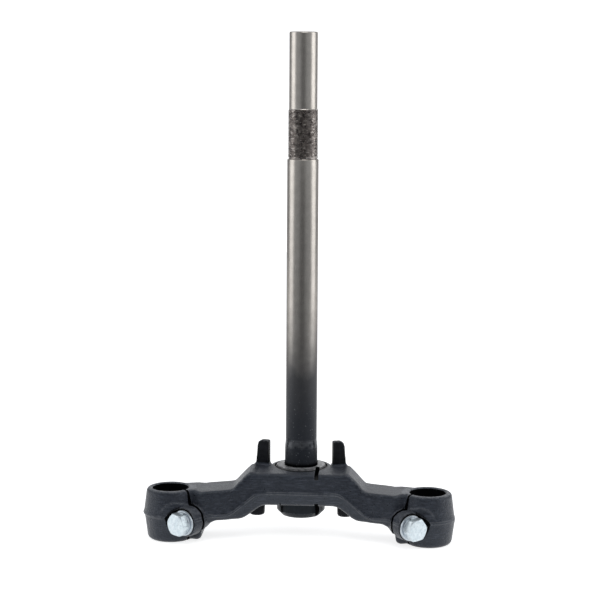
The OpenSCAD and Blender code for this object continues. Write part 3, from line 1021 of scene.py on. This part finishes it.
def mark_edges_and_highlights(mesh):
    """Writes the attributes edge, 1 on crests and worn on the clamp rims, with painted highlights on the
    bosses, above the pads and on the bosses' rear, and top_face, 1 where the skin faces up.
    """
    points = read_points(mesh)
    normals = read_normals(mesh)
    a, b = read_edges(mesh)
    count = len(points)
    long = np.linalg.norm(points[a] - points[b], axis=1)
    mean_long = (np.bincount(a, long, count) + np.bincount(b, long, count)) / neighbours(a, b, count)
    crest = -((neighbour_middle(points, a, b) - points) * normals).sum(1) / mean_long
    share = ramp(crest, *CREST)
    up = normals[:, 2]
    for side in (-1, 1):
        reach, along = bolt_distances(points, side)
        # Painted highlight along the top of the boss, above the pad's edge and on the top of the boss's
        # rear; the rim band is wear.
        on_boss = np.abs(reach - BOSS_R) < BOSS_BAND
        on_boss &= (along > BOSS_END + 1) & (along < SEAT_REACH + 1)
        share = np.maximum(share, BOSS_HIGHLIGHT * on_boss * ramp(up, *BOSS_TOP))
        upper, inside = pad_share(points, side)
        share = np.maximum(share, PAD_HIGHLIGHT * upper * np.exp(-(inside / PAD_BAND) ** 2))
        from_fork = np.hypot(np.abs(points[:, 0]) - FORK_X, points[:, 1] - FORK_Y)
        rim = (points[:, 2] > CLAMP_TOP - RIM_H) & (from_fork < CLAMP_R + RIM_BAND)
        share = np.maximum(share, RIM_WEAR * rim)
        neck = ramp(up, *NECK_TOP) * np.exp(-((reach - NECK_R) / NECK_BAND) ** 2)
        share = np.maximum(share, NECK_HIGHLIGHT * neck * ((along < -1) & (along > BOSS_END)))
    share[in_under_boss(points, 0.5)] = 0
    for name, value in (("edge", share), ("top_face", ramp(up, *TOP_FACE))):
        attribute = mesh.attributes.new(name, "FLOAT", "POINT")
        attribute.data.foreach_set("value", value.astype(np.float32))


def rounded_ramp(u, half):
    """Zero before a corner and straight after it, with the corner rounded over half on each side."""
    return np.clip(u + half, 0, 2 * half) ** 2 / (4 * half) + np.maximum(u - half, 0)


def parting_height(x):
    """Height of the flash line of the forging at a distance from the middle."""
    start, end = PARTING_BEND
    low, high = PARTING_Z
    run = rounded_ramp(x - start, PARTING_ROUND) - rounded_ramp(x - end, PARTING_ROUND)
    return low + (high - low) * run / (end - start)


def hold_details(points):
    """Share by which the flash ridge, ring step, clamp root and bolt bosses keep their form."""
    out = np.abs(points[:, 0])
    off = np.abs(points[:, 2] - parting_height(out))
    ridge = RIDGE_HOLD * np.clip(RIDGE_HALF_H - off, 0, 1)
    kept = (np.hypot(points[:, 0], points[:, 1]) < RING_R + RING_BAND) & (points[:, 2] > -RING_H)
    kept |= (np.abs(out - ROOT_X) < ROOT_BAND) & (points[:, 2] < ROOT_TOP)
    for side in (-1, 1):
        reach, along = bolt_distances(points, side)
        near = np.abs(reach - BOSS_R) < BOSS_HOLD_BAND
        kept |= near & (along > BOSS_END) & (along < SEAT_REACH + 1)
    return np.maximum(ridge, DETAIL_HOLD * kept)


def raise_skin(mesh):
    """Crowns the top of the slopes and arms, and raises the skin above each bolt head a little."""
    points = read_points(mesh)
    normals = read_normals(mesh)
    out, crown = np.array(TOP_CROWN).T
    points[:, 2] += np.interp(np.abs(points[:, 0]), out, crown) * ramp(normals[:, 2], *CROWN_TOP)
    for side in (-1, 1):
        upper, inside = pad_share(points, side)
        rise = PAD_RISE * upper * np.clip(inside / PAD_EDGE_W + 0.5, 0, 1)
        points = points + normals * rise[:, None]
    write_points(mesh, points)


def shift_dies(mesh):
    """Lower half of the forging stands a little to the right of the upper half."""
    points = read_points(mesh)
    below = np.clip((parting_height(np.abs(points[:, 0])) - points[:, 2]) / DIE_STEP_H, 0, 1)
    moved = points[:, 0] + DIE_SHIFT * below * ~in_under_boss(points, 1)
    points[:, 0] = np.clip(moved, -OUTER_X, OUTER_X)
    write_points(mesh, points)


def fill_slab(skin_data, low, high, matrix, shift):
    """Fills a narrow slot: the solid beside it, moved sideways, cut to a slab."""
    bm = bmesh.new()
    bm.from_mesh(skin_data)
    bmesh.ops.translate(bm, vec=matrix.to_3x3() @ Vector((shift, 0, 0)), verts=bm.verts)
    beside = make_object("beside", bm)
    combine(beside, make_object("slab", placed(block(low, high), matrix)), "INTERSECT")
    return beside


def make_plugs(body):
    """Solids that close every hole and slot of the forging, so that its skin is made without them."""
    still = Matrix.Identity(4)
    plugs = [make_object("plug", rod(HUB_BORE_R + BORE_LAP, UNDER_Z, HUB_PLUG_TOP, still))]
    for side in (-1, 1):
        clamp = at_clamp(side)
        half = SLIT_W / 2 + SLAB_LAP
        hole = Matrix.Translation((STAY_X * side, STAY_Y, STAY_Z))
        plugs += [
            make_object("plug", rod(BORE_R + BORE_LAP, CLAMP_BOTTOM, CLAMP_TOP, clamp)),
            fill_slab(
                body.data, (-half, FAR_FRONT, SLAB_BELOW), (half, 0, 0), clamp, SLIT_W + 3 * SLAB_LAP
            ),
            make_object("plug", rod(BOLT_R + BOLT_LAP, -BOLT_DEEP, SEAT_REACH, on_bolt(side))),
            make_object("plug", rod(STAY_HOLE_R + STAY_LAP, 0, STAY_HOLE_DEPTH + 2, hole)),
        ]
    for x, wide, low, high in FILLED_SLOTS:
        half = wide / 2 + SLAB_LAP
        shift = math.copysign(wide + 2 * SLAB_LAP, x)
        plugs.append(fill_slab(body.data, (x - half, FAR_FRONT, low), (x + half, 0, high), still, shift))
    return plugs


def make_skin(coat):
    """The forging without its holes, as one even skin with softened hollows, its crown and its pads."""
    bm = bmesh.new()
    bm.from_mesh(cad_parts["fork_bridge"].data)
    bmesh.ops.scale(bm, vec=(1 / MM,) * 3, verts=bm.verts)
    bmesh.ops.remove_doubles(bm, verts=bm.verts, dist=SOLID_MERGE)
    body = make_object("forging", bm)
    bm = bmesh.new()
    plugs = make_plugs(body)
    for solid in [body] + plugs:
        bm.from_mesh(solid.data)
        drop(solid)
    body = make_object("forging", bm)
    remesh = body.modifiers.new("skin", "REMESH")
    remesh.mode = "VOXEL"
    remesh.voxel_size = VOXEL
    apply_modifiers(body)
    soften(body.data, SOFTEN_ROUNDS, HOLLOW_PULL, CREST_PULL, hold_details)
    raise_skin(body.data)
    shift_dies(body.data)
    body.data.materials.append(coat)
    return body


def paint_shade(mesh, coat, shade_coat):
    """Paints shade with the darker coat: on the ears, the lugs underneath, a band in front of the ring, and
    a ring of shadow on the skin close round the bolt heads.
    """
    faces = mesh.polygons
    skin_index = list(mesh.materials).index(coat)
    mesh.materials.append(shade_coat)
    centres = np.empty(len(faces) * 3)
    faces.foreach_get("center", centres)
    centres = centres.reshape(-1, 3)
    indices = np.empty(len(faces), dtype=np.int32)
    faces.foreach_get("material_index", indices)
    x, y, z = np.abs(centres[:, 0]), centres[:, 1], centres[:, 2]
    # Painted shade: the ears, the lugs underneath and a band in front of the ring.
    dark = (x > EAR_INNER_X) & (z > EAR_FOOT_Z)
    dark |= (np.abs(x - STAY_X) < LUG_HALF_X) & (np.abs(y - STAY_Y) < LUG_HALF_Y) & (z < LUG_TOP)
    dark |= (np.hypot(x, y + RING_SHADE) < RING_R + RING_SHADE_W) & (np.abs(z + 1) < RING_SHADE_H)
    for side in (-1, 1):
        # Painted shadow in a ring round each bolt head.
        reach, along = bolt_distances(centres, side)
        head_shadow = (reach < SEAT_CUT_R + HEAD_SHADOW_W) & (along > SEAT_REACH - 0.5)
        dark |= head_shadow & (along < SEAT_REACH + HEAD_SHADOW_REACH)
    indices[dark & (indices == skin_index)] = len(mesh.materials) - 1
    faces.foreach_set("material_index", indices)


def seat_outline():
    """Flat spot face under a bolt's washer, with a relief that opens away from it."""
    wide = SEAT_CUT_R + SEAT_RELIEF_W
    relief = SEAT_REACH + SEAT_WALL_H + SEAT_RELIEF_H
    end = SEAT_REACH + SEAT_CUT_H
    return [
        (0, SEAT_REACH), (SEAT_CUT_R, SEAT_REACH), (SEAT_CUT_R, SEAT_REACH + SEAT_WALL_H),
        (wide, relief), (wide, end), (0, end),
    ]


def stay_outline():
    """Tapped hole from below with a chamfered mouth and a drill's tip."""
    mouth = STAY_HOLE_R + EDGE_CHAMFER + OVERCUT
    return [
        (0, -OVERCUT), (mouth, -OVERCUT), (STAY_HOLE_R, EDGE_CHAMFER),
        (STAY_HOLE_R, STAY_HOLE_DEPTH), (0, STAY_TIP_DEPTH),
    ]


def under_outline():
    """What is turned off round the boss underneath, with its chamfer."""
    r = UNDER_R - UNDER_TRIM
    far = UNDER_R + UNDER_CUT_W
    low = UNDER_Z - UNDER_CUT_PAST
    slope_end = UNDER_Z + UNDER_CHAMFER
    return [(r - UNDER_CHAMFER, low), (r, slope_end), (r, UNDER_TOP), (far, UNDER_TOP), (far, low)]


def make_bridge(coat, shadow_cut_coat, turned_coat, ear_and_lug_shade, ring_face):
    body = make_skin(coat)

    def cut(bm, material=shadow_cut_coat):
        combine(body, make_object("cutter", bm, material), "DIFFERENCE")

    top = CLAMP_TOP - FACE_TRIM
    half = SLIT_CUT_W / 2
    slit_end = -BOLT_REACH - BOSS_R - PAST_EDGE
    for side in (-1, 1):
        clamp = at_clamp(side)
        cut(placed(spun(bore_outline(BORE_R, CLAMP_BOTTOM, top)), clamp), coat)
        cut(rod(BORE_R + BORE_SKIM, CLAMP_BOTTOM + EDGE_CHAMFER, top - EDGE_CHAMFER, clamp))
        cut(rod(CLAMP_R + RIM_REACH, top, CLAMP_TOP + PAST_EDGE, clamp, HOLE_STEPS), coat)
        cut(placed(block((-half, slit_end, FAR_BELOW), (half, -BORE_R / 2, SLIT_CUT_TOP)), clamp))
        cut(rod(BOLT_R + BOLT_GAP, -BOLT_DEEP, SEAT_REACH + PAST_SEAT, on_bolt(side), HOLE_STEPS))
        cut(placed(spun(seat_outline()), on_bolt(side)))
        hole = Matrix.Translation((STAY_X * side, STAY_Y, STAY_Z))
        cut(placed(spun(stay_outline(), HOLE_STEPS), hole))
    cut(rod(RING_R + RING_EDGE, -FACE_TRIM, PAST_EDGE, Matrix.Identity(4)), ring_face)
    cut(spun(band(RING_R, RING_R + RING_WALL, RING_FOOT, 1), closed=True), ring_face)
    cut(spun(under_outline(), FINE_STEPS, True), turned_coat)
    cut(spun(band(GROOVE_INNER_R, GROOVE_OUTER_R, GROOVE_FLOOR, 1), closed=True))
    cut(spun(bore_outline(HUB_BORE_R, UNDER_Z, -FACE_TRIM)))
    for x, wide, low, high in CUT_SLOTS:
        cut(block((x - wide / 2, FAR_FRONT, low), (x + wide / 2, SLOT_BACK, high)))
    mark_edges_and_highlights(body.data)
    paint_shade(body.data, coat, ear_and_lug_shade)
    finish_piece(body, "forged_bridge", ["fork_bridge"])


# Stem


def quarter_round(centre_r, centre_z, r, steps):
    """Points on a quarter circle, from level with its centre up to straight above it."""
    angles = [math.radians(90 * i / steps) for i in range(steps + 1)]
    return [(centre_r + r * math.cos(angle), centre_z + r * math.sin(angle)) for angle in angles]


def make_tube(steel, thread):
    foot_in = TUBE_R + FOOT_EDGE
    outline = [
        (foot_in, FOOT_Z), (FOOT_R - FOOT_EDGE, FOOT_Z), (FOOT_R, FOOT_Z + 2 * FOOT_EDGE),
        (FOOT_R, 0.05), (LIP_R - 0.2, 0.05), (LIP_R, 0.5), (LIP_R, LIP_TOP), (SEAT_R, LIP_TOP + 0.8),
        (SEAT_R, SEAT_H - 0.4), (SEAT_R - 0.1, SEAT_H + 0.1),
        (SHAFT_R + 0.04, SEAT_H + SEAT_TAPER), (SHAFT_R, SEAT_H + SEAT_TAPER + 1),
        (SHAFT_R, SHAFT_MIDDLE), (SHAFT_R, SHAFT_TOP - 0.9), (SHAFT_R - 0.2, SHAFT_TOP - 0.4),
        (THREAD_ROOT_R, SHAFT_TOP), (THREAD_ROOT_R, THREAD_TOP), (STUB_R, THREAD_TOP + 0.4),
    ]
    outline += quarter_round(STUB_R - STUB_EDGE, STEM_TOP - STUB_EDGE, STUB_EDGE, 5)
    outline += [(TUBE_R + TUBE_MOUTH, STEM_TOP), (TUBE_R, STEM_TOP - TUBE_MOUTH)]
    outline += [(TUBE_R, FOOT_Z + FOOT_EDGE)]
    tube = make_object("tube", spun(outline, FINE_STEPS, True), steel)
    tube.data.materials.append(thread)
    for face in tube.data.polygons:
        middle = face.center
        if SHAFT_TOP - 0.1 < middle.z < THREAD_TOP + 0.1 and middle.xy.length > TUBE_R + 2:
            face.material_index = 1
    finish_piece(tube, "stem_tube", ["steering_stem"], 30)


def make_thread(thread):
    """Ridge of the thread, wound round its root."""
    root, crest = THREAD_ROOT_R - THREAD_SINK, THREAD_R - THREAD_PLAY
    profile = ((root, 0.0), (crest, 0.34), (crest, 0.66), (root, 0.98))
    turns = int(THREAD_TOP - SHAFT_TOP) - 1
    bm = bmesh.new()
    verts = [bm.verts.new((r, 0, share * THREAD_PITCH)) for r, share in profile]
    edges = [bm.edges.new((verts[i - 1], verts[i])) for i in range(len(verts))]
    bm.faces.new(verts)
    spin(bm, verts + edges, THREAD_STEPS * turns, FULL_TURN * turns, THREAD_PITCH / THREAD_STEPS)
    bmesh.ops.contextual_create(bm, geom=[edge for edge in bm.edges if edge.is_boundary])
    bmesh.ops.translate(bm, vec=(0, 0, SHAFT_TOP + THREAD_START), verts=bm.verts)
    bmesh.ops.recalc_face_normals(bm, faces=bm.faces)
    finish_piece(make_object("thread", bm, thread), "stem_thread", sharp=30)


# Pinch bolts and washers


def make_bolt(side, name, zinc):
    corner = HEAD_AF / math.sqrt(3)
    bm = bmesh.new()
    bmesh.ops.create_cone(
        bm, cap_ends=True, segments=6, radius1=corner, radius2=corner, depth=HEAD_H,
        matrix=Matrix.Translation((0, 0, HEAD_H / 2)) @ Matrix.Rotation(math.radians(HEAD_TURN), 4, "Z"),
    )
    head = make_object("head", bm, zinc)
    limit = spun([
        (0, -0.01), (corner - 0.5, -0.01), (corner, HEAD_FOOT), (corner, HEAD_H - HEAD_CROWN),
        (HEAD_AF / 2 + 0.1, HEAD_H - 0.08), (HEAD_AF / 2 - 0.2, HEAD_H), (0, HEAD_H),
    ])
    combine(head, make_object("limit", limit, zinc), "INTERSECT")
    bm = bmesh.new()
    bm.from_mesh(head.data)
    drop(head)
    bmesh.ops.dissolve_limit(bm, angle_limit=math.radians(1), verts=bm.verts, edges=bm.edges)
    edges = [e for e in bm.edges if e.is_manifold and e.calc_face_angle() > math.radians(20)]
    bmesh.ops.bevel(
        bm, geom=edges, offset=HEAD_ROUND, offset_type="OFFSET", affect="EDGES", segments=2,
        profile=0.5, material=-1, clamp_overlap=True,
    )
    shank = make_object("shank", spun([
        (0, SHANK_LAP), (BOLT_R, SHANK_LAP), (BOLT_R, BOLT_TIP - BOLT_LENGTH),
        (BOLT_R - BOLT_TIP, -BOLT_LENGTH), (0, -BOLT_LENGTH),
    ], HOLE_STEPS))
    bm.from_mesh(shank.data)
    drop(shank)
    bmesh.ops.translate(bm, vec=(0, 0, SEAT_REACH + WASHER_T + SPRING_T), verts=bm.verts)
    bolt = make_object("bolt", placed(bm, on_bolt(side)), zinc)
    finish_piece(bolt, f"{name}_hex_bolt", [f"pinch_bolt_{name}"], 30)


def make_plain_washer(side, name, zinc):
    inner = BOLT_R + BOLT_GAP
    e, c = WASHER_EDGE, WASHER_BORE_EDGE
    flat = spun([
        (inner, c), (inner + c, 0), (WASHER_R - e, 0), (WASHER_R, e), (WASHER_R, WASHER_T - e),
        (WASHER_R - WASHER_ROUND, WASHER_T - WASHER_ROUND), (WASHER_R - e, WASHER_T),
        (inner + c, WASHER_T), (inner, WASHER_T - c),
    ], closed=True)
    bmesh.ops.translate(flat, vec=(0, 0, SEAT_REACH), verts=flat.verts)
    made = make_object("flat", placed(flat, on_bolt(side)), zinc)
    finish_piece(made, f"{name}_plain_washer", [f"plain_washer_{name}"], 40)


def make_spring_washer(side, name, zinc):
    """Split ring whose ends stand a little apart along the bolt."""
    inner = BOLT_R + BOLT_GAP
    thick = SPRING_T - SPRING_LIFT
    e, c = SPRING_EDGE, SPRING_BORE_EDGE
    bm = bmesh.new()
    corners = [
        (inner, c), (inner + c, 0), (SPRING_R - e, 0), (SPRING_R, e),
        (SPRING_R, thick - e), (SPRING_R - e, thick), (inner + c, thick), (inner, thick - c),
    ]
    first = bm.faces.new([bm.verts.new((r, 0, z)) for r, z in corners])
    spin(bm, [first], SPRING_STEPS, math.radians(SPRING_SWEEP), SPRING_LIFT / SPRING_STEPS)
    bmesh.ops.recalc_face_normals(bm, faces=bm.faces)
    turn = Matrix.Rotation(math.radians(SPRING_START), 4, "Z")
    up = Matrix.Translation((0, 0, SEAT_REACH + WASHER_T))
    made = make_object("spring", placed(bm, on_bolt(side) @ up @ turn), zinc)
    finish_piece(made, f"{name}_spring_washer", [f"spring_washer_{name}"], 40)


make_camera()
make_stage()
surface_grain = make_grain_group()
black_coat = make_black_coat(surface_grain)
# Near-black coat in bores, slots, holes and the groove: painted shade.
shadow_cut_coat = make_shadow_cut_coat(surface_grain)
# Darker coat on the turned boss underneath: partly its own finish, partly painted shade.
turned_coat = make_shade_coat(
    "turned_boss_coat", (0.003, 0.0045, 0.0065), (0.012, 0.0165, 0.023), 0.21, surface_grain
)
# Darkest coat on the ears and lugs: painted shade.
ear_and_lug_shade = make_shade_coat(
    "ear_and_lug_shade", (0.002, 0.0022, 0.003), (0.011, 0.0115, 0.014), 0.14, surface_grain
)
ring_face = make_ring_face()
stem_steel = make_stem_steel(surface_grain, make_scratch_group())
thread_finish = make_thread_finish(surface_grain)
bolt_zinc = make_zinc("bolt_zinc", (0.76, 0.835, 0.87), (0.58, 0.67, 0.72), 0.32, 0.48, surface_grain)
washer_zinc = make_zinc("washer_zinc", (0.60, 0.65, 0.69), (0.42, 0.47, 0.52), 0.30, 0.48, surface_grain)

make_bridge(black_coat, shadow_cut_coat, turned_coat, ear_and_lug_shade, ring_face)
make_tube(stem_steel, thread_finish)
make_thread(thread_finish)
for side, name in ((-1, "left"), (1, "right")):
    make_bolt(side, name, bolt_zinc)
    make_plain_washer(side, name, washer_zinc)
    make_spring_washer(side, name, washer_zinc)
